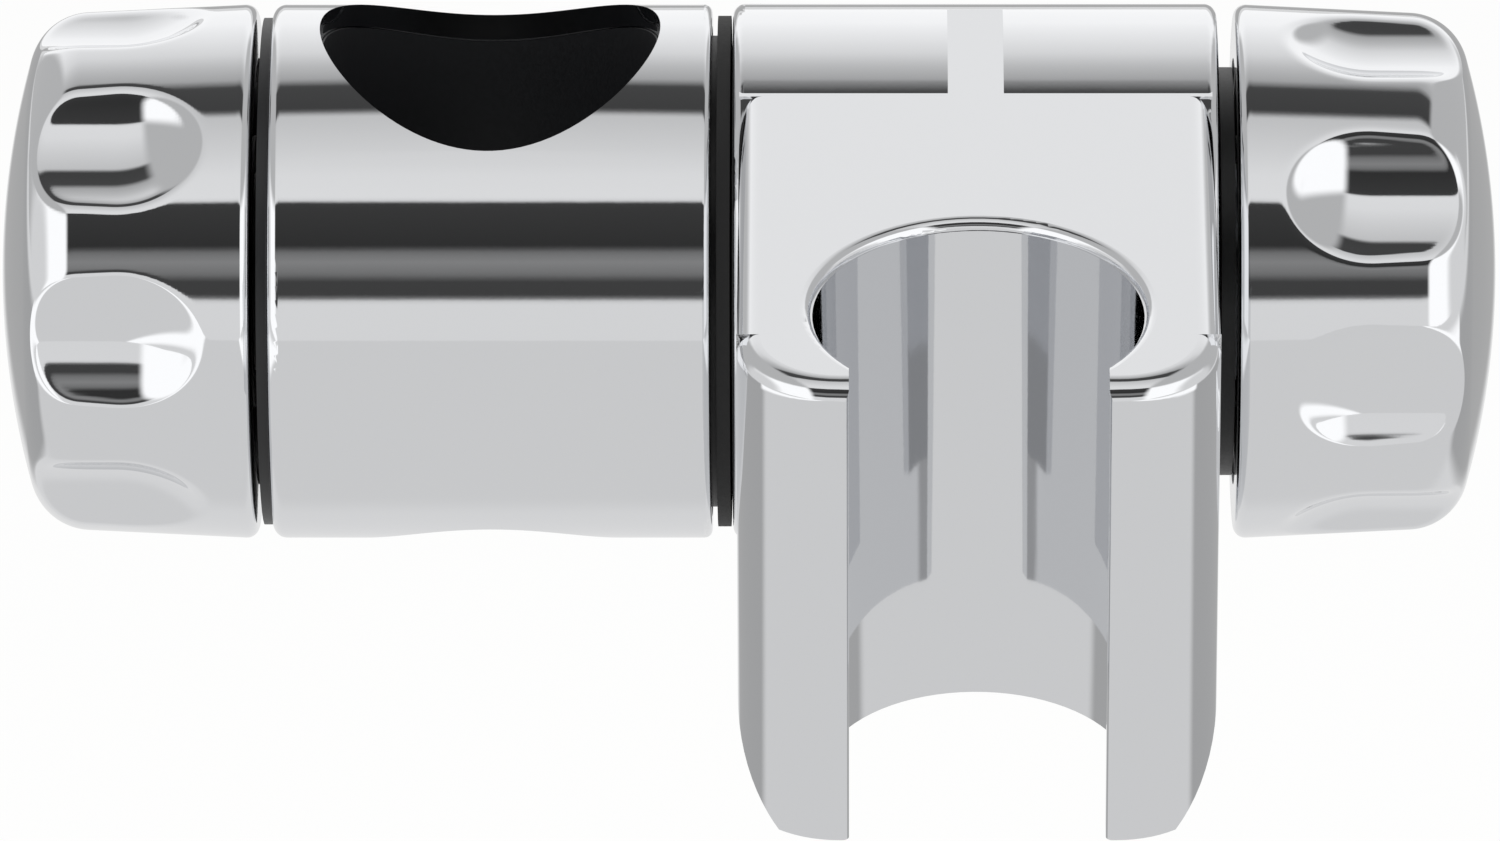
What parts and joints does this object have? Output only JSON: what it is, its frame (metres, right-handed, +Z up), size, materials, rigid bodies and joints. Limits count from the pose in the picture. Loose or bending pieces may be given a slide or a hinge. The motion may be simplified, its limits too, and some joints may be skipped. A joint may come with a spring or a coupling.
{
  "type": "shower rail slider",
  "caption": "Chrome slider for a round shower riser rail: a clamping knob holds it at any height, and a tilting open cradle carries the handset.",
  "frame": {"origin": "on the axis of the riser rail bore, level with the axis of the sleeve", "axes": "+Z up along the rail, +X along the sleeve towards the holder, the cradle opens to -Y"},
  "size_m": [0.1133, 0.0708, 0.0457],
  "materials": {
    "chrome": "bright chrome plate on moulded plastic",
    "black_plastic": "moulded satin",
    "black_rubber": "moulded matt",
    "white_plastic": "moulded satin",
    "steel": "turned",
    "brass": "turned"
  },
  "bodies": {
    "slider_body": {"sleeve_shell": "chrome", "rail_core": "black_plastic", "end_cap": "black_plastic", "threaded_bush": "brass", "pivot_bolt": "steel", "pivot_spigot": "black_plastic", "friction_ring": "black_rubber"},
    "clamp_shoe": {"clamp_shoe": "black_plastic", "shoe_pad": "black_rubber"},
    "clamp_knob": {"clamp_knob_shell": "chrome", "clamp_knob_core": "black_plastic", "clamp_screw": "steel", "screw_retainer": "steel"},
    "holder": {"holder": "chrome", "inner_bush": "white_plastic", "outer_bush": "white_plastic"},
    "tension_washers": {"thrust_washer": "black_plastic", "spring_washer": "steel", "flat_washer": "steel"},
    "tension_knob": {"tension_knob_shell": "chrome", "tension_knob_core": "black_plastic", "tension_nut": "brass"}
  },
  "joints": [
    {"name": "clamp_travel", "type": "slide", "parent": "slider_body", "child": "clamp_shoe", "axis": [1, 0, 0], "range_m": [-0.00126, 0.00042]},
    {"name": "clamp_knob_turn", "type": "hinge", "parent": "clamp_shoe", "child": "clamp_knob", "pos_m": [0, 0, 0], "axis": [1, 0, 0], "range_deg": [-360, 120]},
    {"name": "holder_tilt", "type": "hinge", "parent": "slider_body", "child": "holder", "pos_m": [0, 0, 0], "axis": [1, 0, 0], "continuous": true},
    {"name": "tension_travel", "type": "slide", "parent": "slider_body", "child": "tension_washers", "axis": [1, 0, 0], "range_m": [0, 0.00126]},
    {"name": "tension_knob_turn", "type": "hinge", "parent": "tension_washers", "child": "tension_knob", "pos_m": [0, 0, 0], "axis": [1, 0, 0], "range_deg": [0, 360]}
  ],
  "couplings": [
    {"joint": "clamp_travel", "follows": "clamp_knob_turn", "m_per_rad": 0.00019894},
    {"joint": "tension_travel", "follows": "tension_knob_turn", "m_per_rad": 0.00019894}
  ]
}
